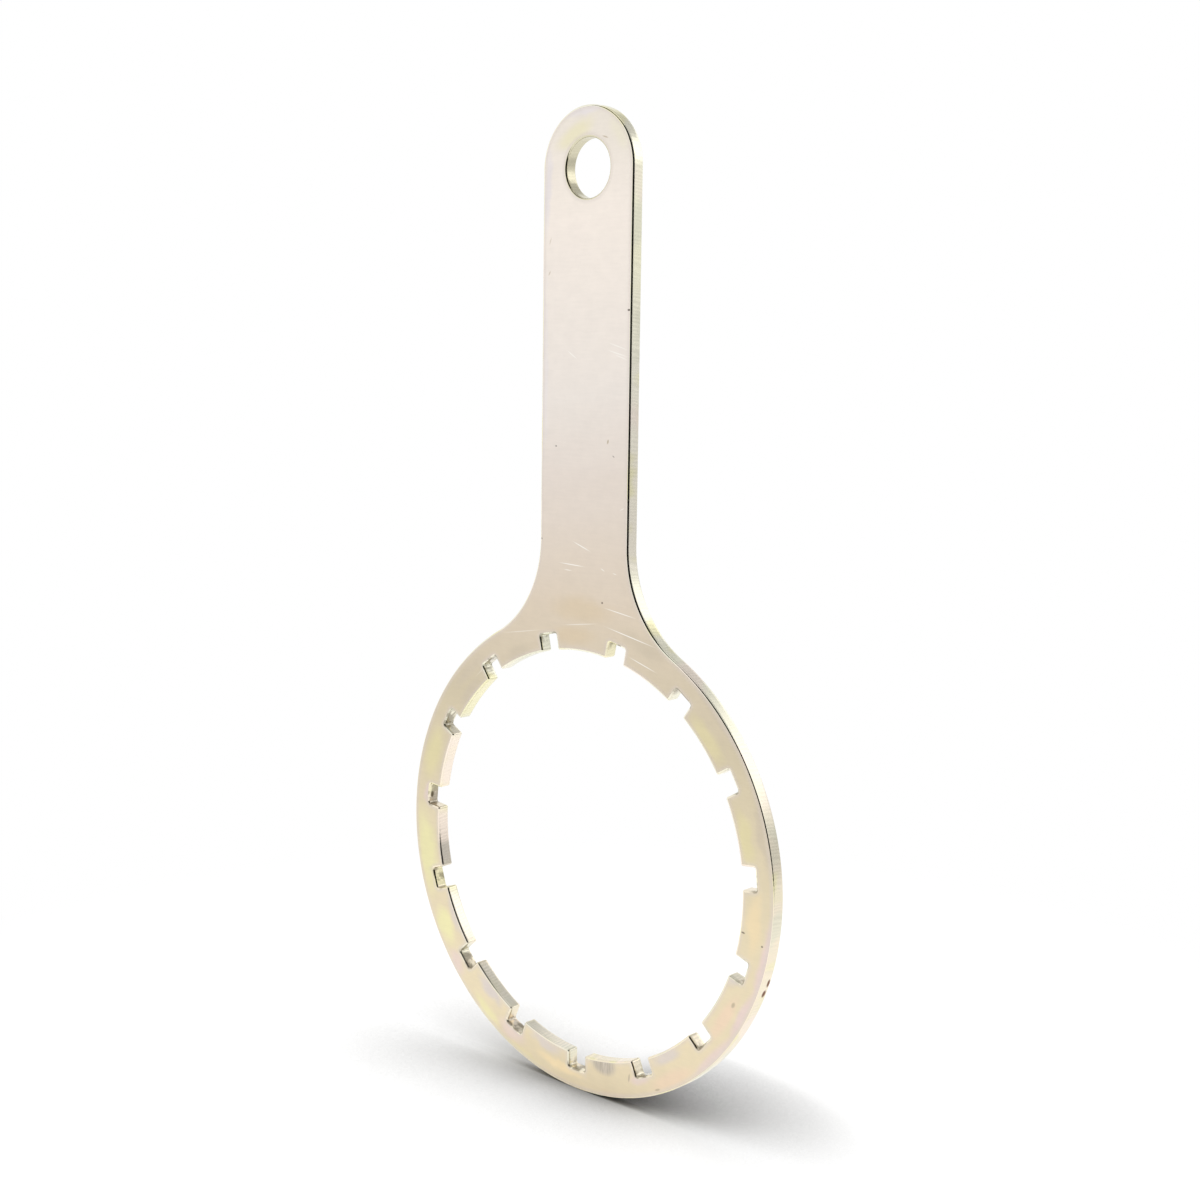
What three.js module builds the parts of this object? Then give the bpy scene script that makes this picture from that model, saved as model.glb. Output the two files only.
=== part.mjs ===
// Fuel filter wrench: a flat ring spanner cut from one steel sheet.
// The ring drops over a ribbed filter cap, and each rib seats in one of the notches round its inside.
// Millimetres, +Z up. The origin is the centre of the ring at mid-thickness: the ring's axis is Y,
// the handle rises along +Z, and the sheet's front face looks along -Y.

import * as THREE from 'three';

// Sheet
const PLATE_THICKNESS = 3.4;
const EDGE_RADIUS = 0.4;            // cut edges rounded over by tumbling

// Ring
const LAND_DIAMETER = 100;          // across the lands, which clear the cap between its ribs
const NOTCH_COUNT = 15;
const NOTCH_DEPTH = 4;              // from the land circle to the flat bottom of a notch
const NOTCH_WIDTH = 5.3;
const NOTCH_CORNER_RADIUS = 0.5;    // inside corners at the bottom of a notch
const RIM_WIDTH = 5;                // metal left behind a notch

// Handle
const HANDLE_WIDTH = 28.3;
const HANDLE_REACH = 162.3;         // ring centre to hanging hole centre
const HANG_HOLE_DIAMETER = 13.6;
const NECK_RADIUS = 28;             // blend between the handle's edges and the ring's rim

// Round stretches follow the true curve to within this distance
const CHORD_TOLERANCE = 0.02;
const EDGE_STEPS = 2;

const landRadius = LAND_DIAMETER / 2;
const notchRadius = landRadius + NOTCH_DEPTH;
const rimRadius = notchRadius + RIM_WIDTH;
const endRadius = HANDLE_WIDTH / 2;

// Points along an arc, both ends included. Angles run from +X towards +Y of the sheet's own plane.
function arcPoints(centreX, centreY, radius, from, to) {
  const step = 2 * Math.acos(1 - CHORD_TOLERANCE / radius);
  const pieces = Math.max(2, Math.ceil(Math.abs(to - from) / step));
  const clockwise = to < from;
  const curve = new THREE.EllipseCurve(centreX, centreY, radius, radius, from, to, clockwise);
  return curve.getPoints(pieces);
}

// The outer edge, anticlockwise: rim, right neck blend, round end over the hole, left neck blend.
// A blend's circle touches the handle's straight edge and the rim from outside.
function outerEdge() {
  const blendX = endRadius + NECK_RADIUS;
  const blendY = Math.sqrt((rimRadius + NECK_RADIUS) ** 2 - blendX ** 2);
  const touch = Math.atan2(blendY, blendX);
  return [
    ...arcPoints(0, 0, rimRadius, Math.PI - touch, 2 * Math.PI + touch),
    ...arcPoints(blendX, blendY, NECK_RADIUS, Math.PI + touch, Math.PI).slice(1),
    ...arcPoints(0, HANDLE_REACH, endRadius, 0, Math.PI),
    ...arcPoints(-blendX, blendY, NECK_RADIUS, 0, -touch).slice(0, -1),
  ];
}

// One notch and the land that follows it, drawn for a notch that opens at the ring's +Y side.
function notchAndLand() {
  const half = NOTCH_WIDTH / 2;
  const mouth = Math.asin(half / landRadius);
  const pitch = 2 * Math.PI / NOTCH_COUNT;
  const cornerX = half - NOTCH_CORNER_RADIUS;
  const cornerY = notchRadius - NOTCH_CORNER_RADIUS;
  const top = Math.PI / 2;
  return [
    ...arcPoints(cornerX, cornerY, NOTCH_CORNER_RADIUS, 0, top),
    ...arcPoints(-cornerX, cornerY, NOTCH_CORNER_RADIUS, top, Math.PI),
    ...arcPoints(0, 0, landRadius, top + mouth, top + pitch - mouth),
  ];
}

// The inside of the ring. A land sits under the handle, so the notches start half a pitch to its side.
function innerEdge() {
  const pitch = 2 * Math.PI / NOTCH_COUNT;
  const pattern = notchAndLand();
  const centre = new THREE.Vector2();
  const points = [];
  for (let i = 0; i < NOTCH_COUNT; i += 1) {
    const turn = pitch * (i + 0.5);
    points.push(...pattern.map((point) => point.clone().rotateAround(centre, turn)));
  }
  return points;
}

function hangHole() {
  const circle = arcPoints(0, HANDLE_REACH, HANG_HOLE_DIAMETER / 2, 0, 2 * Math.PI);
  return circle.slice(0, -1);
}

// The sheet, extruded along its own +Z with the outline at its nominal size between the rounded edges.
function plateGeometry() {
  const outline = new THREE.Shape(outerEdge());
  outline.holes.push(new THREE.Path(innerEdge()), new THREE.Path(hangHole()));
  return new THREE.ExtrudeGeometry(outline, {
    depth: PLATE_THICKNESS - 2 * EDGE_RADIUS,
    bevelEnabled: true,
    bevelThickness: EDGE_RADIUS,
    bevelSize: EDGE_RADIUS,
    bevelOffset: -EDGE_RADIUS,
    bevelSegments: EDGE_STEPS,
  });
}

// Zinc plating with a pale yellow passivate
const platedSteel = new THREE.MeshStandardMaterial({ color: 0xe2d7cb, roughness: 0.35, metalness: 0.9 });

const plate = new THREE.Mesh(plateGeometry(), platedSteel);
plate.name = 'wrench_plate';
plate.rotation.x = Math.PI / 2;
plate.position.y = PLATE_THICKNESS / 2 - EDGE_RADIUS;

const wrench = new THREE.Group();
wrench.name = 'fuel_filter_wrench';
wrench.add(plate);

export default wrench;
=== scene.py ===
# Fuel filter wrench: one flat plate of zinc-plated steel, standing on its rim on a white floor.
import math

import bmesh
import bpy
from mathutils import Matrix, Vector, noise
from mathutils.geometry import delaunay_2d_cdt
from mathutils.kdtree import KDTree

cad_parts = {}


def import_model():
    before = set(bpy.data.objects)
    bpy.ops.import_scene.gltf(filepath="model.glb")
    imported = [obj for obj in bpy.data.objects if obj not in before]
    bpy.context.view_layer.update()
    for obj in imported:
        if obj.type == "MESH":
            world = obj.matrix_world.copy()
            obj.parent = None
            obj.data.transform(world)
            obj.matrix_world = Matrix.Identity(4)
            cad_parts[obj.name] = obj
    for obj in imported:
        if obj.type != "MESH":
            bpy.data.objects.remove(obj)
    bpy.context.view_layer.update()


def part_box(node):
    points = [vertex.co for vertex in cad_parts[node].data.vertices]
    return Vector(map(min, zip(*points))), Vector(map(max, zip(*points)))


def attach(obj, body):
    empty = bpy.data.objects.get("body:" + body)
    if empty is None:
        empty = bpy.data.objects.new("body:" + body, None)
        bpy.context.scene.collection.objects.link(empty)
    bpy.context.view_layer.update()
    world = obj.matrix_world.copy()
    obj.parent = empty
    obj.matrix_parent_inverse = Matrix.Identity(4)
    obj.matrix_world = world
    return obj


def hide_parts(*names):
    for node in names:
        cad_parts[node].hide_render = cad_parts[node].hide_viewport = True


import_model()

MM = 0.001
NODE = "wrench_plate"

# Outline in millimetres. The CAD box gives the outer sizes, and the rest repeats the CAD's driving sizes
plate_low, plate_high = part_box(NODE)
THICKNESS = (plate_high.y - plate_low.y) / MM
RIM_RADIUS = -plate_low.z / MM
RIM_WIDTH = 5.0
NOTCH_COUNT = 15
NOTCH_DEPTH = 4.0
NOTCH_WIDTH = 5.3
NOTCH_CORNER_RADIUS = 0.5
NECK_RADIUS = 28.0
HANDLE_WIDTH = 28.3
HOLE_RADIUS = 6.8
NOTCH_RADIUS = RIM_RADIUS - RIM_WIDTH
LAND_RADIUS = NOTCH_RADIUS - NOTCH_DEPTH
END_RADIUS = HANDLE_WIDTH / 2
HANDLE_TOP = plate_high.z / MM
HANDLE_REACH = HANDLE_TOP - END_RADIUS
FRONT = -THICKNESS / 2
PITCH = 2 * math.pi / NOTCH_COUNT

# Cut edge, millimetres
EDGE_RADIUS = 0.48         # rounding between a face and the cut wall
RIM_EDGE_RADIUS = 0.26     # the same along the ring's rim, below the neck
NECK_LEVELS = (34.0, 56.0)  # heights between which the rounding goes from one to the other
EDGE_STEPS = 4
MOUTH_RADIUS = 0.52        # plan rounding where a notch opens into a land
WALL_ROWS = 6
ROW_COUNT = 2 * (EDGE_STEPS + 1) + WALL_ROWS - 1
WALL_CLEARANCE = 0.012     # keeps the round walls inside the CAD's faceted ones

# Fall of a face towards its edges, and its waves, millimetres
EDGE_ROLL = 0.03
ROLL_WIDTH = 1.3
WAVE_WIDTH = 19.0
WAVE_HEIGHT = 26.0
WAVE_SHARE = 0.3

# Ladder lines that the cutting beam leaves across the wall, millimetres
STRIA_PITCH = 0.85
STRIA_DEPTH = 0.03
STRIA_DRAG = 0.35          # how far a line trails from the front face to the back
STRIA_DRIFT = 2.2          # how far the lines wander, in pitches
STRIA_DRIFT_RATE = 0.22    # how often, per millimetre
STRIA_STRENGTH = 0.55
STRIA_FADE = 0.6           # how much that strength varies
STRIA_FADE_RATE = 0.09
STRIA_ROUGH_SHARE = 0.35   # share of the marks that is not regular
STRIA_ROUGH_RATE = (2.3, 0.8)
SEED_STEP = 10.0           # sets the contours' noise apart
FADE_SEED = 7.0

# Mesh density, millimetres
CONTOUR_STEP = 0.22
SMALLEST_STEPS = 4
GRID_STEP = 1.6
GRID_MARGIN = 0.4 * GRID_STEP
EDGE_RINGS = (0.75, 1.15, 1.75)
RING_SLACK = 0.96          # a ring point nearer to an edge than this share of its inset is left out
INSIDE_OUTLINE = 1         # the triangulation's output that keeps to the outer edge
MERGE_DISTANCE = 1e-7


# Outline

def arc(centre_x, centre_z, radius, start, end, facing):
    """Points along an arc without its last, each with the way out of the metal.
    facing is 1 where that way leads away from the arc's centre, and -1 where it leads to it."""
    steps = max(SMALLEST_STEPS, math.ceil(abs(end - start) * radius / CONTOUR_STEP))
    made = []
    for i in range(steps):
        angle = start + (end - start) * i / steps
        across, up = math.cos(angle), math.sin(angle)
        made.append((centre_x + radius * across, centre_z + radius * up, facing * across, facing * up))
    return made


def straight(x0, z0, x1, z1, out_x, out_z):
    """Points along a line without its last, each with the way out of the metal."""
    steps = max(SMALLEST_STEPS, math.ceil(math.hypot(x1 - x0, z1 - z0) / CONTOUR_STEP))
    made = []
    for i in range(steps):
        share = i / steps
        made.append((x0 + (x1 - x0) * share, z0 + (z1 - z0) * share, out_x, out_z))
    return made


def turned(points, angle):
    """The points turned about the ring's axis."""
    c, s = math.cos(angle), math.sin(angle)
    return [(x * c - z * s, x * s + z * c, u * c - v * s, u * s + v * c) for x, z, u, v in points]


def outer_contour():
    """Rim, right neck blend, right edge, round end, left edge, left neck blend."""
    blend_x = END_RADIUS + NECK_RADIUS
    blend_z = math.sqrt((RIM_RADIUS + NECK_RADIUS) ** 2 - blend_x ** 2)
    touch = math.atan2(blend_z, blend_x)
    pi = math.pi
    return (
        arc(0, 0, RIM_RADIUS, pi - touch, 2 * pi + touch, 1)
        + arc(blend_x, blend_z, NECK_RADIUS, pi + touch, pi, -1)
        + straight(END_RADIUS, blend_z, END_RADIUS, HANDLE_REACH, 1, 0)
        + arc(0, HANDLE_REACH, END_RADIUS, 0, pi, 1)
        + straight(-END_RADIUS, HANDLE_REACH, -END_RADIUS, blend_z, -1, 0)
        + arc(-blend_x, blend_z, NECK_RADIUS, 0, -touch, -1)
    )


def notch_and_land():
    """One notch, drawn at the top of the ring, and the land that follows it anticlockwise."""
    half = NOTCH_WIDTH / 2
    corner = NOTCH_CORNER_RADIUS
    corner_x, corner_z = half - corner, NOTCH_RADIUS - corner
    mouth_x = half + MOUTH_RADIUS
    mouth_z = math.sqrt((LAND_RADIUS + MOUTH_RADIUS) ** 2 - mouth_x ** 2)
    lean = math.atan2(mouth_x, mouth_z)
    top = math.pi / 2
    return (
        arc(mouth_x, mouth_z, MOUTH_RADIUS, 3 * top - lean, 2 * top, 1)
        + straight(half, mouth_z, half, corner_z, -1, 0)
        + arc(corner_x, corner_z, corner, 0, top, -1)
        + straight(corner_x, NOTCH_RADIUS, -corner_x, NOTCH_RADIUS, 0, -1)
        + arc(-corner_x, corner_z, corner, top, 2 * top, -1)
        + straight(-half, corner_z, -half, mouth_z, 1, 0)
        + arc(-mouth_x, mouth_z, MOUTH_RADIUS, 0, lean - top, 1)
        + arc(0, 0, LAND_RADIUS, top + lean, top + PITCH - lean, -1)
    )


def inner_contour():
    """Notches and lands round the ring, with a land under the handle."""
    pattern = notch_and_land()
    made = []
    for i in range(NOTCH_COUNT):
        made += turned(pattern, PITCH * (i + 0.5))
    return made


def hole_contour():
    return arc(0, HANDLE_REACH, HOLE_RADIUS, 0, 2 * math.pi, -1)


# Plate

def edge_radius(x, z):
    """Rounding of the edge at a place on a contour."""
    if math.hypot(x, z) < RIM_RADIUS - RIM_WIDTH / 2:
        return EDGE_RADIUS
    low, high = NECK_LEVELS
    share = min(1.0, max(0.0, (z - low) / (high - low)))
    return RIM_EDGE_RADIUS + (EDGE_RADIUS - RIM_EDGE_RADIUS) * share


def section(radius):
    """Rows across the cut edge from front face to back: inset, place across, share of the wall's marks."""
    level = FRONT + EDGE_ROLL
    front = []
    for k in range(EDGE_STEPS + 1):
        angle = math.pi / 2 * k / EDGE_STEPS
        inset = radius * (1 - math.sin(angle))
        front.append((inset, level + radius * (1 - math.cos(angle)), math.sin(angle) ** 2))
    wall_start = front[-1][1]
    wall = []
    for k in range(1, WALL_ROWS):
        wall.append((0.0, wall_start * (1 - 2 * k / WALL_ROWS), 1.0))
    back = [(inset, -y, marks) for inset, y, marks in reversed(front)]
    return front + wall + back


def stria(along, y, seed):
    """Depth, 0 to 1, of the cutting beam's ladder lines at a length along a contour and a place across it."""
    wander = noise.noise((along * STRIA_DRIFT_RATE, seed, 0.0)) * STRIA_DRIFT
    depth_share = (y - FRONT) / THICKNESS
    lag = STRIA_DRAG * depth_share ** 2
    wave = 0.5 + 0.5 * math.sin(2 * math.pi * ((along + lag) / STRIA_PITCH + wander))
    fade = noise.noise((along * STRIA_FADE_RATE, seed + FADE_SEED, 2.0))
    strength = STRIA_STRENGTH + STRIA_FADE * fade
    along_rate, across_rate = STRIA_ROUGH_RATE
    rough = 0.5 + 0.5 * noise.noise((along * along_rate, y * across_rate, seed))
    marks = (1 - STRIA_ROUGH_SHARE) * wave + STRIA_ROUGH_SHARE * rough
    return max(0.0, min(1.0, strength * marks))


def lengths_along(contour):
    """Running length at each point of a contour."""
    total, made = 0.0, [0.0]
    for (x0, z0, _, _), (x1, z1, _, _) in zip(contour, contour[1:]):
        total += math.hypot(x1 - x0, z1 - z0)
        made.append(total)
    return made


class Edge:
    """Points along the plate's contours, to ask how deep in the metal a place lies."""

    def __init__(self, points):
        self.points = points
        self.tree = KDTree(len(points))
        for index, (x, z, _, _) in enumerate(points):
            self.tree.insert((x, 0.0, z), index)
        self.tree.balance()

    def depth(self, x, z):
        """Distance to the nearest edge, below 0 outside the metal."""
        near, index, distance = self.tree.find((x, 0.0, z))
        _, _, out_x, out_z = self.points[index]
        outside = (x - near.x) * out_x + (z - near.z) * out_z > 0
        return -distance if outside else distance


def face_points(edge):
    """Places inside the face: rings along its edges, and a staggered grid between them."""
    made = []
    for ring, inset in enumerate(EDGE_RINGS):
        for x, z, out_x, out_z in edge.points[::2 * (ring + 1)]:
            px, pz = x - out_x * inset, z - out_z * inset
            if edge.depth(px, pz) >= RING_SLACK * inset:
                made.append((px, pz))
    rows = math.ceil((HANDLE_TOP + RIM_RADIUS) / GRID_STEP)
    columns = math.ceil(2 * RIM_RADIUS / GRID_STEP)
    for row in range(rows):
        for column in range(columns):
            px = -RIM_RADIUS + (column + 0.5 * (row % 2)) * GRID_STEP
            pz = -RIM_RADIUS + row * GRID_STEP
            if edge.depth(px, pz) >= EDGE_RINGS[-1] + GRID_MARGIN:
                made.append((px, pz))
    return made


def face_level(x, z, distance):
    """How far the face lies below its highest plane: it falls away at its edges and waves slightly."""
    rise = max(0.0, 1 - (distance - EDGE_RADIUS) / ROLL_WIDTH)
    wave = WAVE_SHARE * (1 + noise.noise((x / WAVE_WIDTH, z / WAVE_HEIGHT, 3.0)))
    return EDGE_ROLL * min(1.0, rise * rise + (1 - rise) * max(0.0, wave))


class Sheet:
    """The plate's mesh in the making: vertices with what the materials read from them, and faces."""

    def __init__(self):
        self.vertices = []
        self.distances = []
        self.marks = []
        self.faces = []

    def add(self, x, y, z, distance, mark):
        self.vertices.append((x, y, z))
        self.distances.append(distance)
        self.marks.append(mark)


def add_wall(sheet, contour, seed):
    """Adds the cut edge along a contour, and gives the vertex of its front row at each of its points."""
    start = len(sheet.vertices)
    for (x, z, out_x, out_z), length in zip(contour, lengths_along(contour)):
        for inset, y, marks in section(edge_radius(x, z)):
            depth = stria(length, y, seed) * marks
            back = inset + WALL_CLEARANCE + STRIA_DEPTH * depth
            sheet.add(x - out_x * back, y, z - out_z * back, inset, depth)
    front = [start + i * ROW_COUNT for i in range(len(contour))]
    for here, there in zip(front, front[1:] + front[:1]):
        for k in range(ROW_COUNT - 1):
            sheet.faces.append((here + k, here + k + 1, there + k + 1, there + k))
    return front


def face_triangles(outline, loops, inside, ways_out):
    """Triangles over the face, their corners counted along the outline and then the places inside."""
    face_edge = Edge([(place.x, place.y, *way) for place, way in zip(outline, ways_out)])
    flat = outline + [Vector(point) for point in inside]
    places, _, found, origin, _, _ = delaunay_2d_cdt(flat, loops, [], INSIDE_OUTLINE, MERGE_DISTANCE)
    triangles = []
    for corners in found:
        middle = sum((places[corner] for corner in corners), Vector((0.0, 0.0))) / len(corners)
        if face_edge.depth(*middle) > 0:
            triangles.append([origin[corner][0] for corner in corners])
    return triangles


def add_face(sheet, side, rim, edge, inside, triangles):
    """Adds the face on one side, -1 for the front, within the vertices of its rim."""
    first = len(sheet.vertices)
    for x, z in inside:
        distance = edge.depth(x, z)
        sheet.add(x, side * (THICKNESS / 2 - face_level(x, z, distance)), z, distance, 0.0)
    vertex_of = rim + [first + i for i in range(len(inside))]
    for triangle in triangles:
        sheet.faces.append(tuple(vertex_of[corner] for corner in triangle))


def finished_mesh(sheet, cut_faces):
    """The sheet as a mesh, whose first cut_faces faces take the second material."""
    mesh = bpy.data.meshes.new("plated_plate")
    mesh.from_pydata([Vector(vertex) * MM for vertex in sheet.vertices], [], sheet.faces)
    for name, values in (("edge_distance", sheet.distances), ("stria", sheet.marks)):
        mesh.attributes.new(name, "FLOAT", "POINT").data.foreach_set("value", values)
    count = len(sheet.faces)
    mesh.polygons.foreach_set("material_index", [int(i < cut_faces) for i in range(count)])
    mesh.polygons.foreach_set("use_smooth", [True] * count)
    work = bmesh.new()
    work.from_mesh(mesh)
    bmesh.ops.recalc_face_normals(work, faces=work.faces)
    work.to_mesh(mesh)
    work.free()
    return mesh


def plate_mesh():
    contours = [outer_contour(), inner_contour(), hole_contour()]
    sheet = Sheet()
    front, loops = [], []
    for number, contour in enumerate(contours):
        first, count = len(front), len(contour)
        front += add_wall(sheet, contour, SEED_STEP * number)
        loops += [(first + i, first + (i + 1) % count) for i in range(count)]
    cut_faces = len(sheet.faces)

    points = [point for contour in contours for point in contour]
    edge = Edge(points)
    inside = face_points(edge)
    outline = [Vector((sheet.vertices[v][0], sheet.vertices[v][2])) for v in front]
    triangles = face_triangles(outline, loops, inside, [point[2:] for point in points])
    back = [vertex + ROW_COUNT - 1 for vertex in front]
    for side, rim in ((-1, front), (1, back)):
        add_face(sheet, side, rim, edge, inside, triangles)
    return finished_mesh(sheet, cut_faces)


# Shader helpers

def colour(red, green, blue):
    """A linear colour from 8-bit screen values."""
    def linear(value):
        share = value / 255
        return share / 12.92 if share <= 0.04045 else ((share + 0.055) / 1.055) ** 2.4
    return (linear(red), linear(green), linear(blue), 1.0)


def node(tree, kind, settings, inputs):
    """A node with its settings, and its inputs set to values or linked from sockets."""
    made = tree.nodes.new(kind)
    for name, value in settings.items():
        setattr(made, name, value)
    for key, value in inputs.items():
        if isinstance(value, bpy.types.NodeSocket):
            tree.links.new(value, made.inputs[key])
        else:
            made.inputs[key].default_value = value
    return made


def maths(tree, operation, *values):
    return node(tree, "ShaderNodeMath", {"operation": operation}, dict(enumerate(values))).outputs[0]


def vector_maths(tree, operation, output, *values):
    made = node(tree, "ShaderNodeVectorMath", {"operation": operation}, dict(enumerate(values)))
    return made.outputs[output]


def remap(tree, value, low, high, to_low=0.0, to_high=1.0):
    inputs = {"Value": value, "From Min": low, "From Max": high, "To Min": to_low, "To Max": to_high}
    return node(tree, "ShaderNodeMapRange", {"interpolation_type": "SMOOTHSTEP"}, inputs).outputs[0]


def mixed(tree, factor, first, second, blend="MIX"):
    """Colour mix: first where factor is 0, second where it is 1."""
    made = node(tree, "ShaderNodeMix", {"data_type": "RGBA", "blend_type": blend}, {"Factor": factor})
    for socket, value in zip((made.inputs[6], made.inputs[7]), (first, second)):
        if isinstance(value, bpy.types.NodeSocket):
            tree.links.new(value, socket)
        else:
            socket.default_value = value
    return made.outputs[2]


def tinted(tree, mask, strength, shade, tint):
    """The shade with a tint over it, at this strength where the mask is 1."""
    return mixed(tree, maths(tree, "MULTIPLY", mask, strength), shade, colour(*tint))


def millimetres(tree):
    """Object coordinates in millimetres."""
    place = tree.nodes.new("ShaderNodeTexCoord").outputs["Object"]
    scale = node(tree, "ShaderNodeVectorMath", {"operation": "SCALE"}, {0: place, "Scale": 1 / MM})
    return scale.outputs[0]


def stretched(tree, place, x, y, z):
    return vector_maths(tree, "MULTIPLY", 0, place, (x, y, z))


def grain(tree, place, size, detail=2.0):
    """Noise, 0 to 1, with features about size millimetres across."""
    inputs = {"Vector": place, "Scale": 1 / size, "Detail": detail}
    return node(tree, "ShaderNodeTexNoise", {}, inputs).outputs[0]


def spot(tree, place, centre, half_size, turn=0.0, hardness=0.0):
    """1 at a place on the plate, falling to 0 at an ellipse about it. turn lifts its +X end, in degrees."""
    inputs = {
        "Vector": place,
        "Location": centre,
        "Rotation": (0.0, -math.radians(turn), 0.0),
        "Scale": half_size,
    }
    local = node(tree, "ShaderNodeMapping", {"vector_type": "TEXTURE"}, inputs).outputs[0]
    reach = vector_maths(tree, "LENGTH", "Value", local)
    return remap(tree, reach, hardness, 1.0, 1.0, 0.0)


def attribute(tree, name):
    return node(tree, "ShaderNodeAttribute", {"attribute_name": name}, {}).outputs["Fac"]


def new_material(name):
    material = bpy.data.materials.new(name)
    material.use_nodes = True
    tree = material.node_tree
    return material, tree, tree.nodes["Principled BSDF"]


def feed(tree, shader, **sockets):
    """Links sockets to the shader's inputs, named with _ for a space."""
    for name, socket in sockets.items():
        tree.links.new(socket, shader.inputs[name.replace("_", " ")])


# Plated face

THROUGH = 1000.0           # half size across the sheet of a tint that both faces share
NEAR_FRONT = 1.0           # half size across the sheet of a mark on the front face only
TINT_CORE = 0.26           # share of a tint's size over which it keeps its full strength

TINT_PATCH = 5.0           # patches by which the tints' borders wander, and how far
TINT_REACH = 1.5
TONE_PATCH = 14.0          # the same for the tones along the plate
TONE_REACH = 8.0
TONE_STRETCH = 0.35

# Plating: sizes in millimetres, levels as shares
BORDER = (0.5, 1.6)        # distances from an edge between which its greyer plating fades
BORDER_STRENGTH = 0.45
GRAIN_SIZE = 0.5           # rolling grain, drawn out along X
GRAIN_STRETCH = 0.12
GRAIN_LEVEL = 0.935
GRAIN_CONTRAST = 0.07
CLOUD_SIZE = 3.0
CLOUD_LEVEL = 0.95
CLOUD_CONTRAST = 0.10
FACE_METALLIC = 0.65
FACE_ROUGHNESS = 0.24
FACE_ROUGHNESS_CLOUD = 0.1
FACE_ROUGHNESS_GRAIN = 0.06
FACE_BUMP = 0.1
FACE_BUMP_HEIGHT = 0.006
SCRATCH_BUMP = -0.6

# Colours of the passivate's thin film
DUSK = (212, 199, 177)
SAND = (223, 205, 177)
STRAW = (229, 218, 173)
GOLD = (241, 221, 181)
APRICOT = (239, 214, 187)
LEMON = (239, 232, 181)
CREAM = (241, 234, 212)
ROSE = (232, 212, 203)
PEARL = (222, 211, 202)
LILAC = (236, 229, 229)

# Plating tone along the plate, partly painted reflection: lighter at the handle's top and darker at the neck
# and the ring's foot, as if the face mirrored the bright backdrop above and the shaded floor below. Height in
# millimetres above the ring's centre, and colour
PLATING_AND_REFLECTION_TONES = (
    (-59, (224, 209, 178)),
    (-44, (234, 219, 186)),
    (0, (230, 216, 184)),
    (36, (215, 202, 174)),
    (61, (226, 211, 191)),
    (90, (233, 222, 212)),
    (110, (240, 232, 224)),
    (152, (250, 240, 230)),
    (177, (238, 230, 218)),
)

# Tints on the ring: degrees clockwise from the handle, radius, half length, half width, colour, strength
RING_TINTS = (
    (20, 57.0, 10.0, 3.0, DUSK, 0.7),
    (46, 58.4, 16.0, 1.6, DUSK, 0.8),
    (48, 52.5, 9.0, 3.0, STRAW, 0.8),
    (74, 52.5, 9.0, 3.0, STRAW, 0.9),
    (74, 57.4, 12.0, 2.0, DUSK, 0.8),
    (95, 54.0, 10.0, 3.0, GOLD, 0.9),
    (103, 58.4, 17.0, 2.4, ROSE, 1.0),
    (110, 51.5, 4.0, 2.4, PEARL, 0.8),
    (122, 54.0, 9.0, 2.4, APRICOT, 0.9),
    (118, 57.6, 10.0, 1.8, ROSE, 1.0),
    (132, 58.0, 12.0, 2.0, ROSE, 0.9),
    (146, 51.6, 7.0, 2.0, PEARL, 0.9),
    (147, 56.6, 10.0, 3.0, APRICOT, 0.8),
    (158, 54.8, 4.5, 1.8, ROSE, 0.8),
    (168, 58.4, 9.0, 1.4, SAND, 0.8),
    (186, 54.8, 11.0, 2.0, GOLD, 1.0),
    (192, 51.6, 7.0, 2.0, PEARL, 0.9),
    (204, 55.0, 6.5, 3.0, ROSE, 0.8),
    (200, 58.2, 12.0, 1.6, STRAW, 0.7),
    (214, 56.8, 7.0, 2.6, LEMON, 0.8),
    (216, 51.8, 7.0, 2.4, PEARL, 1.0),
    (229, 57.0, 5.0, 2.8, ROSE, 0.8),
    (239, 55.5, 7.0, 3.6, LEMON, 1.0),
    (240, 51.4, 6.0, 1.8, PEARL, 0.7),
    (260, 55.2, 15.0, 4.8, LEMON, 1.0),
    (276, 54.6, 3.5, 2.2, ROSE, 0.9),
    (288, 54.6, 10.0, 3.8, STRAW, 1.0),
    (312, 51.8, 7.0, 2.2, DUSK, 0.8),
    (316, 56.0, 9.0, 2.4, DUSK, 0.7),
    (336, 51.8, 7.0, 2.2, DUSK, 0.8),
    (356, 53.5, 11.0, 3.0, SAND, 0.9),
)

# Tints on the handle: x, z, half length, half width, turn, colour, strength
HANDLE_TINTS = (
    (-4.0, 170.0, 8.0, 3.0, 24, LEMON, 0.5),
    (-1.0, 175.0, 9.0, 1.6, 4, LILAC, 0.8),
    (-12.6, 158.0, 14.0, 1.8, 88, LILAC, 0.8),
    (-12.9, 118.0, 30.0, 1.3, 90, LILAC, 0.5),
    (10.0, 170.0, 6.0, 3.0, -50, CREAM, 0.7),
    (0.0, 60.0, 13.0, 4.5, 0, SAND, 0.8),
)

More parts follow.
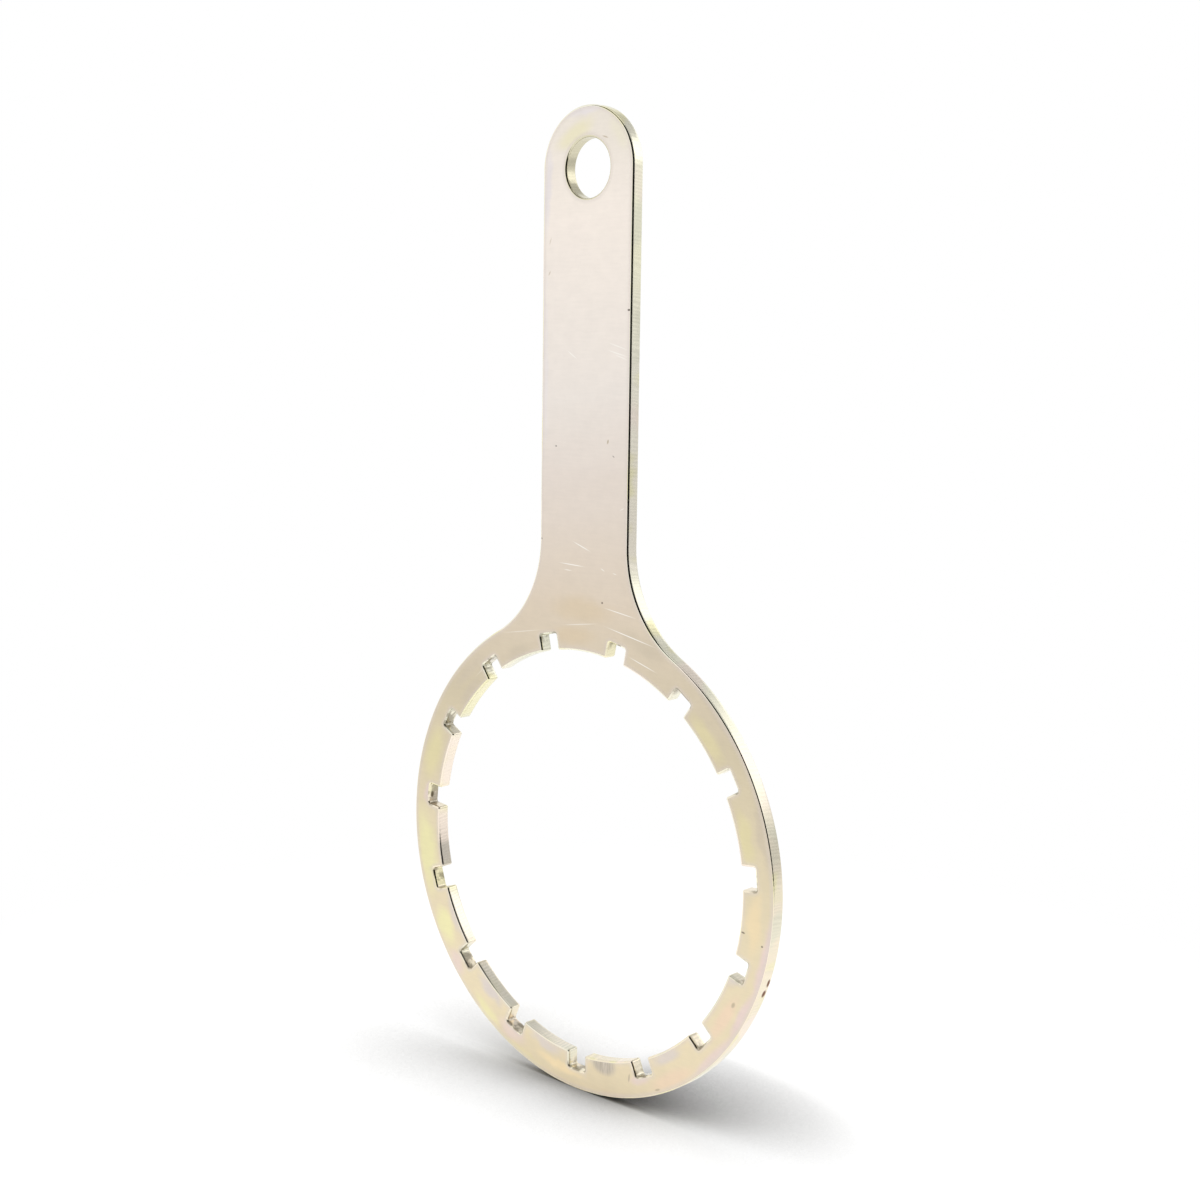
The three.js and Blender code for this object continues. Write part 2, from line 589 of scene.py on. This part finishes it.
# Scratches: x, z, half length, turn, strength
SCRATCH_HALF_WIDTH = 0.17
SCRATCH_BRIGHT = (255, 251, 244)
SCRATCH_CORE = 0.3
SCRATCHES = (
    (-4.2, 119.8, 2.3, -31, 0.8),
    (10.2, 122.0, 3.9, -15, 0.7),
    (10.0, 120.4, 3.8, -13, 0.8),
    (11.3, 119.5, 2.6, -17, 0.6),
    (-0.4, 75.1, 3.7, -19, 0.9),
    (-3.6, 70.5, 5.1, -2, 0.9),
    (-4.8, 69.1, 1.7, -3, 0.6),
    (6.4, 70.2, 0.9, -27, 0.7),
    (10.2, 69.6, 0.8, -11, 0.6),
    (12.2, 84.8, 1.0, 24, 0.5),
    (12.0, 60.6, 6.3, -8, 0.8),
    (15.2, 55.4, 9.6, -11, 0.9),
    (19.3, 49.4, 5.6, -17, 0.8),
    (-0.6, 56.5, 7.0, 8, 0.5),
    (-20.0, 52.5, 8.0, 10, 0.4),
    (-33.0, 42.0, 6.0, 42, 0.3),
)

# Specks and stains on the front: x, z, half length, half width, turn, colour, strength
SOOT = (62, 46, 34)
RUST = (112, 68, 38)
SMUDGE = (188, 172, 146)
SPECK_CORE = 0.4
SPECKS = (
    (13.4, 130.2, 0.6, 0.32, 0, SOOT, 0.9),
    (6.4, 62.4, 0.36, 0.32, 0, SOOT, 0.8),
    (-9.1, 98.3, 0.36, 0.26, 0, SOOT, 0.7),
    (-13.6, 75.9, 0.35, 0.3, 0, SOOT, 0.7),
    (50.6, -7.2, 0.7, 0.25, -8, SOOT, 0.8),
    (56.0, -9.2, 0.34, 0.3, 0, SOOT, 0.8),
    (5.4, 168.9, 1.2, 0.22, -16, SMUDGE, 0.7),
    (9.3, 96.8, 0.5, 0.2, -30, SOOT, 0.5),
    (7.5, 100.1, 0.7, 0.32, 75, SMUDGE, 0.9),
    (48.3, -24.8, 1.0, 0.6, 60, SMUDGE, 0.8),
    (26.3, -51.5, 1.1, 0.35, 25, SMUDGE, 0.8),
    (-38.6, -44.4, 0.7, 0.35, -45, SMUDGE, 0.9),
    (17.3, -51.2, 1.4, 0.3, 85, SMUDGE, 0.9),
    (-11.8, 138.6, 0.8, 0.25, 60, SMUDGE, 0.5),
    (-11.6, 146.0, 1.1, 0.16, 70, SMUDGE, 0.5),
)

# A rubbed place on the land right of the lowest notch: x and z, half sizes, and streaks along the plate
RUBBED_PLACE = (9.0, -50.4)
RUBBED_SIZE = (4.9, 3.1)
RUBBED_STREAK = 0.3
RUBBED_STRETCH = 0.1
RUBBED_LEVELS = (0.3, 0.7)  # noise levels between which a streak goes from dark to light
RUBBED_CORE = 0.45
RUBBED_STRENGTH = 0.85
RUBBED_DARK = (172, 163, 149)
RUBBED_LIGHT = (204, 194, 182)


def on_ring(degrees, radius):
    """x and z of a place on the ring, degrees clockwise from the handle."""
    angle = math.radians(degrees)
    return radius * math.sin(angle), radius * math.cos(angle)


def tone_along(tree, place, tones):
    """Tone by height, its borders broken up by noise."""
    height = node(tree, "ShaderNodeSeparateXYZ", {}, {0: place}).outputs["Z"]
    drift = grain(tree, stretched(tree, place, TONE_STRETCH, 1.0, 1.0), TONE_PATCH)
    shift = maths(tree, "MULTIPLY_ADD", drift, 2 * TONE_REACH, -TONE_REACH)
    shifted = maths(tree, "ADD", height, shift)
    low, high = tones[0][0], tones[-1][0]
    settings = {"clamp": True}
    inputs = {"Value": shifted, "From Min": low, "From Max": high}
    share = node(tree, "ShaderNodeMapRange", settings, inputs).outputs[0]
    ramp = node(tree, "ShaderNodeValToRGB", {}, {0: share})
    stops = ramp.color_ramp.elements
    while len(stops) < len(tones):
        stops.new(0.5)
    for stop, (level, tone) in zip(stops, tones):
        stop.position = (level - low) / (high - low)
        stop.color = colour(*tone)
    return ramp.outputs[0]


def rubbed(tree, place, shade):
    """The shade with the rubbed place on it: metal streaked along the plate's length."""
    x, z = RUBBED_PLACE
    width, height = RUBBED_SIZE
    mask = spot(tree, place, (x, FRONT, z), (width, NEAR_FRONT, height), 0.0, RUBBED_CORE)
    streaks = grain(tree, stretched(tree, place, 1.0, 1.0, RUBBED_STRETCH), RUBBED_STREAK)
    light = remap(tree, streaks, *RUBBED_LEVELS)
    metal = mixed(tree, light, colour(*RUBBED_DARK), colour(*RUBBED_LIGHT))
    return mixed(tree, maths(tree, "MULTIPLY", mask, RUBBED_STRENGTH), shade, metal)


def film_tints(tree, place, shade):
    """The shade with the tints of the ring and the handle, their borders broken up by noise."""
    wander = grain(tree, place, TINT_PATCH, 3.0)
    shift = maths(tree, "MULTIPLY_ADD", wander, 2 * TINT_REACH, -TINT_REACH)
    offset_inputs = {0: (1.0, 0.0, 1.0), "Scale": shift}
    offset = node(tree, "ShaderNodeVectorMath", {"operation": "SCALE"}, offset_inputs).outputs[0]
    blurred = vector_maths(tree, "ADD", 0, place, offset)
    for degrees, radius, length, width, tint, strength in RING_TINTS:
        x, z = on_ring(degrees, radius)
        mask = spot(tree, blurred, (x, 0.0, z), (length, THROUGH, width), -degrees, TINT_CORE)
        shade = tinted(tree, mask, strength, shade, tint)
    for x, z, length, width, turn, tint, strength in HANDLE_TINTS:
        mask = spot(tree, blurred, (x, 0.0, z), (length, THROUGH, width), turn, TINT_CORE)
        shade = tinted(tree, mask, strength, shade, tint)
    return shade


def scratch_mask(tree, place):
    """1 on the scratches of the front face."""
    scratches = None
    for x, z, length, turn, strength in SCRATCHES:
        size = (length, NEAR_FRONT, SCRATCH_HALF_WIDTH)
        mask = spot(tree, place, (x, FRONT, z), size, turn, SCRATCH_CORE)
        mask = maths(tree, "MULTIPLY", mask, strength)
        scratches = mask if scratches is None else maths(tree, "MAXIMUM", scratches, mask)
    return scratches


def specks(tree, place, shade):
    """The shade with the specks and stains of the front face."""
    for x, z, length, width, turn, tint, strength in SPECKS:
        mask = spot(tree, place, (x, FRONT, z), (length, NEAR_FRONT, width), turn, SPECK_CORE)
        shade = tinted(tree, mask, strength, shade, tint)
    return shade


def plated_face():
    material, tree, shader = new_material("plated_face")
    place = millimetres(tree)
    # Base tone by height, with painted reflection: lighter handle top, darker neck and ring foot
    shade = film_tints(tree, place, tone_along(tree, place, PLATING_AND_REFLECTION_TONES))

    # Thinner, greyer plating close to an edge
    distance = attribute(tree, "edge_distance")
    near_edge = remap(tree, distance, *BORDER, BORDER_STRENGTH, 0.0)
    shade = mixed(tree, near_edge, shade, colour(*PEARL))

    # Rolling grain along X, and cloudy plating
    rolled = grain(tree, stretched(tree, place, GRAIN_STRETCH, 1.0, 1.0), GRAIN_SIZE, 3.0)
    cloud = grain(tree, place, CLOUD_SIZE, 4.0)
    value = maths(tree, "MULTIPLY_ADD", rolled, GRAIN_CONTRAST, GRAIN_LEVEL)
    clouded = maths(tree, "MULTIPLY_ADD", cloud, CLOUD_CONTRAST, CLOUD_LEVEL)
    value = maths(tree, "MULTIPLY", value, clouded)
    shade = mixed(tree, 1.0, shade, value, "MULTIPLY")

    shade = rubbed(tree, place, shade)
    scratches = scratch_mask(tree, place)
    shade = mixed(tree, scratches, shade, colour(*SCRATCH_BRIGHT))
    shade = specks(tree, place, shade)

    roughness = maths(tree, "MULTIPLY_ADD", cloud, FACE_ROUGHNESS_CLOUD, FACE_ROUGHNESS)
    roughness = maths(tree, "MULTIPLY_ADD", rolled, FACE_ROUGHNESS_GRAIN, roughness)
    height = maths(tree, "MULTIPLY_ADD", scratches, SCRATCH_BUMP, rolled)
    bump_inputs = {"Height": height, "Strength": FACE_BUMP, "Distance": FACE_BUMP_HEIGHT * MM}
    bump = node(tree, "ShaderNodeBump", {}, bump_inputs).outputs[0]
    shader.inputs["Metallic"].default_value = FACE_METALLIC
    feed(tree, shader, Base_Color=shade, Roughness=roughness, Normal=bump)
    return material


# Cut edge

PATCH_SIZE = 12.0          # green and straw patches, millimetres
PATCH_GREEN = (0.5, 0.64, 0.0, 0.7)        # noise levels between which a tint sets in, and its strengths
PATCH_STRAW = (0.46, 0.36, 0.0, 0.8)
BLUSH_SIZE = 15.0
BLUSH_STRETCH = 0.8
BLUSH_PINK = (0.54, 0.66, 0.0, 0.7)
# Painted shade deep in the notches, darker towards their bottoms and blotched by noise
NOTCH_SHADE_SIZE = 2.2
NOTCH_SHADE_LEVELS = (0.42, 0.6, 0.0, 0.62)
NOTCH_SHADE_DEPTH = (LAND_RADIUS + 1.5, NOTCH_RADIUS - 0.1)
NOTCH_SHADE_LIMIT = NOTCH_RADIUS + 1.0           # the outer edge lies beyond this radius
LADDER_LEVEL = 1.04
LADDER_CONTRAST = -0.2
FINE_SIZE = 0.35
CUT_ROUGHNESS = 0.17
CUT_ROUGHNESS_FINE = 0.14
CUT_BUMP = 0.15
CUT_BUMP_HEIGHT = 0.02
ROUNDING_WIDTH = 0.12      # over which the edge's rounding turns glossier than the wall
ROUNDING_GLOSS = 0.4

# Tone of the cut edge: height in millimetres above the ring's centre, and colour
CUT_TONES = (
    (-59, (238, 228, 204)),
    (0, (242, 230, 208)),
    (50, (238, 236, 216)),
    (76, (244, 237, 221)),
    (120, (244, 240, 224)),
    (148, (246, 243, 214)),
    (165, (244, 240, 218)),
    (177, (238, 235, 218)),
)
CUT_GREEN = (226, 224, 204)
CUT_STRAW = (238, 232, 188)
CUT_BLUSH = (246, 231, 220)
CUT_PALE = (238, 233, 220)
CUT_GREY = (196, 191, 178)
# The next colour is soot on the burnt spots and the painted shade deep in the notches
CUT_SOOT_AND_SHADE = (104, 94, 74)
CUT_OLIVE = (218, 212, 186)

# Tints on the lands' walls: degrees clockwise from the handle, half length, colour
LAND_LENGTH = 9.0          # half length of a tint over a whole land
LAND_HALF_DEPTH = 1.6
LAND_CORE = 0.6
LAND_STRENGTH = 0.65
LAND_TINTS = (
    (312, LAND_LENGTH, CUT_STRAW),
    (288, LAND_LENGTH, CUT_BLUSH),
    (264, LAND_LENGTH, CUT_BLUSH),
    (258, LAND_LENGTH / 2, CUT_GREY),
    (240, LAND_LENGTH, CUT_PALE),
    (216, LAND_LENGTH, CUT_PALE),
    (192, LAND_LENGTH, CUT_PALE),
)

# Tint on the hanging hole's wall
HOLE_REACH = HOLE_RADIUS + 1.0
HOLE_CORE = 0.9

# Burnt spots on the cut edge: place, half size, colour
BURN_CORE = 0.5
CUT_BURNS = (
    ((56.1, 0.9, -18.3), (1.6, 0.6, 1.3), RUST),
    ((55.2, 0.5, -20.9), (1.6, 0.8, 1.2), RUST),
    ((-53.6, -0.6, 5.2), (1.2, 0.7, 1.1), CUT_SOOT_AND_SHADE),
    ((-30.6, 0.4, 42.4), (2.2, 2.2, 2.2), CUT_SOOT_AND_SHADE),
)


def wall_tints(tree, place, shade):
    """The shade with patches all over the cut edge, and tints on the walls of the lands and the hole."""
    patches = grain(tree, place, PATCH_SIZE)
    shade = mixed(tree, remap(tree, patches, *PATCH_GREEN), shade, colour(*CUT_GREEN))
    shade = mixed(tree, remap(tree, patches, *PATCH_STRAW), shade, colour(*CUT_STRAW))
    blush = grain(tree, stretched(tree, place, 1.0, 1.0, BLUSH_STRETCH), BLUSH_SIZE)
    shade = mixed(tree, remap(tree, blush, *BLUSH_PINK), shade, colour(*CUT_BLUSH))
    for degrees, half_length, tint in LAND_TINTS:
        x, z = on_ring(degrees, LAND_RADIUS)
        size = (half_length, THROUGH, LAND_HALF_DEPTH)
        mask = spot(tree, place, (x, 0.0, z), size, -degrees, LAND_CORE)
        shade = tinted(tree, mask, LAND_STRENGTH, shade, tint)
    hole_size = (HOLE_REACH, THROUGH, HOLE_REACH)
    mask = spot(tree, place, (0.0, 0.0, HANDLE_REACH), hole_size, 0.0, HOLE_CORE)
    return mixed(tree, mask, shade, colour(*CUT_OLIVE))


def burns_and_notch_shade(tree, place, shade):
    """The colour with painted shade deep in the notches, darker towards their bottoms and blotched by noise,
    and burnt spots.
    """
    # Painted shade: darker towards the bottom of each notch, blotched by noise
    flat = vector_maths(tree, "MULTIPLY", 0, place, (1.0, 0.0, 1.0))
    radius = vector_maths(tree, "LENGTH", "Value", flat)
    deep = remap(tree, radius, *NOTCH_SHADE_DEPTH)
    inner = maths(tree, "LESS_THAN", radius, NOTCH_SHADE_LIMIT)
    shade_blotches = remap(tree, grain(tree, place, NOTCH_SHADE_SIZE, 3.0), *NOTCH_SHADE_LEVELS)
    notch_shade = maths(tree, "MULTIPLY", maths(tree, "MULTIPLY", deep, inner), shade_blotches)
    shade = mixed(tree, notch_shade, shade, colour(*CUT_SOOT_AND_SHADE))
    for centre, size, tint in CUT_BURNS:
        shade = mixed(tree, spot(tree, place, centre, size, 0.0, BURN_CORE), shade, colour(*tint))
    return shade


def cut_edge():
    material, tree, shader = new_material("cut_edge")
    place = millimetres(tree)
    shade = wall_tints(tree, place, tone_along(tree, place, CUT_TONES))
    shade = burns_and_notch_shade(tree, place, shade)
    ladder = attribute(tree, "stria")
    value = maths(tree, "MULTIPLY_ADD", ladder, LADDER_CONTRAST, LADDER_LEVEL)
    shade = mixed(tree, 1.0, shade, value, "MULTIPLY")

    fine = grain(tree, place, FINE_SIZE, 3.0)
    roughness = maths(tree, "MULTIPLY_ADD", fine, CUT_ROUGHNESS_FINE, CUT_ROUGHNESS)
    rounding = attribute(tree, "edge_distance")
    gloss = remap(tree, rounding, 0.0, ROUNDING_WIDTH, 1.0, ROUNDING_GLOSS)
    roughness = maths(tree, "MULTIPLY", roughness, gloss)
    bump_inputs = {"Height": fine, "Strength": CUT_BUMP, "Distance": CUT_BUMP_HEIGHT * MM}
    bump = node(tree, "ShaderNodeBump", {}, bump_inputs).outputs[0]
    shader.inputs["Metallic"].default_value = 1.0
    feed(tree, shader, Base_Color=shade, Roughness=roughness, Normal=bump)
    return material


def build_plate():
    mesh = plate_mesh()
    mesh.materials.append(plated_face())
    mesh.materials.append(cut_edge())
    plate = bpy.data.objects.new("plated_plate", mesh)
    bpy.context.scene.collection.objects.link(plate)
    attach(plate, "root")
    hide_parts(NODE)


# Stage

FLOOR_Z = -RIM_RADIUS * MM
FLOOR_HALF = 4.0
LAMP_PLACE = Vector((-0.1, -0.1, 0.7))     # from the foot of the ring
LAMP_SIZE = 0.8
LAMP_POWER = 2.2
FLOOR_WHITE = 0.88         # what the camera and mirrors see, under all the light
FLOOR_BOUNCE = 0.7         # what matt surfaces see
SHADOW_REACH = 0.11        # the floor turns plain white from here to twice as far from the ring's foot
SHADOW_SAMPLES = 12

# Sides that the floor's contact shadow turns to: azimuth from -Y to +X, elevation, reach, depth, and the
# places on X between which it sets in. The floor seen through the ring stays white
SHADOW_SIDES = (
    (math.radians(-40), math.radians(25), 0.05, 1.0, (-0.008, 0.018)),
    (math.radians(90), math.radians(12), 0.045, 3.0, (-0.3, -0.2)),
    (math.radians(-22), math.radians(8), 0.038, 3.2, (-0.004, 0.016)),
)

CAMERA_AZIMUTH = math.radians(42.631)      # from -Y towards +X
CAMERA_ELEVATION = math.radians(8.381)
CAMERA_ROLL = math.radians(0.800)
CAMERA_DISTANCE = 432.882 * MM
CAMERA_TARGET = Vector((5.728, FRONT, 63.039)) * MM
PHOTO_FOCAL = 1847.796                     # pixels
PHOTO_WIDTH = 1200                         # pixels
SENSOR = 36.0


def background_rays(tree):
    """1 for rays that show the background: to the camera, in a mirror or through glass."""
    path = tree.nodes.new("ShaderNodeLightPath").outputs
    seen = maths(tree, "MAXIMUM", path["Is Camera Ray"], path["Is Glossy Ray"])
    return maths(tree, "MAXIMUM", seen, path["Is Transmission Ray"])


def world():
    made = bpy.data.worlds.new("studio")
    made.use_nodes = True
    background = made.node_tree.nodes["Background"]
    background.inputs["Color"].default_value = (1.0, 1.0, 1.0, 1.0)
    background.inputs["Strength"].default_value = 1.0
    bpy.context.scene.world = made


def grid_object(name, rows, material):
    """A surface through rows of points, all of the same length."""
    width = len(rows[0])
    faces = []
    for i in range(len(rows) - 1):
        for k in range(width - 1):
            corner = i * width + k
            faces.append((corner, corner + 1, corner + width + 1, corner + width))
    mesh = bpy.data.meshes.new(name)
    mesh.from_pydata([point for row in rows for point in row], [], faces)
    mesh.materials.append(material)
    made = bpy.data.objects.new(name, mesh)
    bpy.context.scene.collection.objects.link(made)
    return made


def side_light(tree, azimuth, elevation, reach, depth, onset):
    """How much of the light from one side gets past the object: 1 in the open."""
    place = tree.nodes.new("ShaderNodeTexCoord").outputs["Object"]
    across = node(tree, "ShaderNodeSeparateXYZ", {}, {0: place}).outputs["X"]
    level = math.cos(elevation)
    side = {0: math.sin(azimuth) * level, 1: -math.cos(azimuth) * level, 2: math.sin(elevation)}
    towards = node(tree, "ShaderNodeCombineXYZ", {}, side).outputs[0]
    inputs = {"Distance": reach, "Normal": towards}
    past = node(tree, "ShaderNodeAmbientOcclusion", {"samples": SHADOW_SAMPLES}, inputs).outputs["AO"]
    return maths(tree, "POWER", past, remap(tree, across, *onset, 0.0, depth))


def floor():
    material, tree, shader = new_material("white_floor")
    shown = background_rays(tree)
    contact = 1.0
    for side in SHADOW_SIDES:
        contact = maths(tree, "MULTIPLY", contact, side_light(tree, *side))
    to_camera = tree.nodes.new("ShaderNodeLightPath").outputs["Is Camera Ray"]
    darkening = maths(tree, "MULTIPLY", to_camera, maths(tree, "SUBTRACT", 1.0, contact))
    tone = maths(tree, "MULTIPLY_ADD", shown, FLOOR_WHITE - FLOOR_BOUNCE, FLOOR_BOUNCE)
    tone = maths(tree, "MULTIPLY", tone, maths(tree, "SUBTRACT", 1.0, darkening))
    shader.inputs["Specular IOR Level"].default_value = 0.0
    shader.inputs["Roughness"].default_value = 1.0
    white = node(tree, "ShaderNodeCombineColor", {}, {0: tone, 1: tone, 2: tone}).outputs[0]
    feed(tree, shader, Base_Color=white)

    # Away from the object the floor is the white background itself
    place = tree.nodes.new("ShaderNodeTexCoord").outputs["Object"]
    flat = vector_maths(tree, "MULTIPLY", 0, place, (1.0, 1.0, 0.0))
    away = remap(tree, vector_maths(tree, "LENGTH", "Value", flat), SHADOW_REACH, 2 * SHADOW_REACH)
    glow = node(tree, "ShaderNodeEmission", {}, {"Strength": 1.0}).outputs[0]
    factor = maths(tree, "MULTIPLY", away, shown)
    joined = node(tree, "ShaderNodeMixShader", {}, {0: factor, 1: shader.outputs[0], 2: glow})
    tree.links.new(joined.outputs[0], tree.nodes["Material Output"].inputs["Surface"])
    h = FLOOR_HALF
    rows = [[(-h, -h, FLOOR_Z), (h, -h, FLOOR_Z)], [(-h, h, FLOOR_Z), (h, h, FLOOR_Z)]]
    grid_object("floor", rows, material)


# Cards that only mirrors see, curved about the upright line through the ring's centre: brightness, azimuth
# from -Y to +X and half angle in degrees, then radius and height of the foot and of the top in metres
FAR = 2.0
DARK = 0.015
DARK_RADIUS = 0.39
DARK_TOP = (DARK_RADIUS, 1.12)
BACK_FOOT = (0.46, FLOOR_Z)
BACK_MIDDLE = (1.1, 0.115)
CARDS = {
    "dark_front": (DARK, 50, 55, (DARK_RADIUS, FLOOR_Z), DARK_TOP),
    "dark_front_top": (DARK, 10, 65, (DARK_RADIUS, 0.45), DARK_TOP),
    "grey_back": (0.71, 140, 36, BACK_FOOT, BACK_MIDDLE),
    "pale_back": (0.86, 140, 36, BACK_MIDDLE, (FAR, 0.36)),
    "bright_back": (1.45, 152, 28, (FAR, 0.55), (FAR, 1.58)),
    "grey_top": (0.6, 165, 55, (FAR, 1.6), (FAR, 6.0)),
}
CARD_STEPS = 24


def card(name, level, azimuth, half_angle, foot, top):
    material = bpy.data.materials.new(name)
    material.use_nodes = True
    tree = material.node_tree
    tree.nodes.clear()
    glow = node(tree, "ShaderNodeEmission", {}, {"Color": (level, level, level, 1.0), "Strength": 1.0})
    output = tree.nodes.new("ShaderNodeOutputMaterial")
    tree.links.new(glow.outputs[0], output.inputs["Surface"])
    rows = []
    for radius, z in (foot, top):
        row = []
        for k in range(CARD_STEPS + 1):
            angle = math.radians(azimuth + half_angle * (2 * k / CARD_STEPS - 1))
            row.append((radius * math.sin(angle), -radius * math.cos(angle), z))
        rows.append(row)
    made = grid_object(name, rows, material)
    made.visible_camera = False
    made.visible_diffuse = False
    made.visible_shadow = False


def lamp():
    light = bpy.data.lights.new("softbox", "AREA")
    light.shape = "SQUARE"
    light.size = LAMP_SIZE
    light.energy = LAMP_POWER
    made = bpy.data.objects.new("softbox", light)
    made.location = LAMP_PLACE + Vector((0.0, 0.0, FLOOR_Z))
    made.rotation_euler = LAMP_PLACE.to_track_quat("Z", "Y").to_euler()
    made.visible_glossy = False
    bpy.context.scene.collection.objects.link(made)


def camera():
    level = math.cos(CAMERA_ELEVATION)
    back = Vector((
        math.sin(CAMERA_AZIMUTH) * level,
        -math.cos(CAMERA_AZIMUTH) * level,
        math.sin(CAMERA_ELEVATION),
    ))
    right = Vector((0, 0, 1)).cross(back).normalized()
    up = back.cross(right)
    c, s = math.cos(CAMERA_ROLL), math.sin(CAMERA_ROLL)
    axes = Matrix((right * c + up * s, up * c - right * s, back)).transposed()
    data = bpy.data.cameras.new("photo_camera")
    data.sensor_fit = "HORIZONTAL"
    data.sensor_width = SENSOR
    data.lens = PHOTO_FOCAL / PHOTO_WIDTH * SENSOR
    data.clip_start = 0.01
    made = bpy.data.objects.new("photo_camera", data)
    place = CAMERA_TARGET + back * CAMERA_DISTANCE
    made.matrix_world = Matrix.Translation(place) @ axes.to_4x4()
    bpy.context.scene.collection.objects.link(made)
    bpy.context.scene.camera = made


build_plate()
world()
floor()
lamp()
camera()
for card_name, card_facts in CARDS.items():
    card(card_name, *card_facts)
bpy.context.scene.view_settings.view_transform = "Standard"
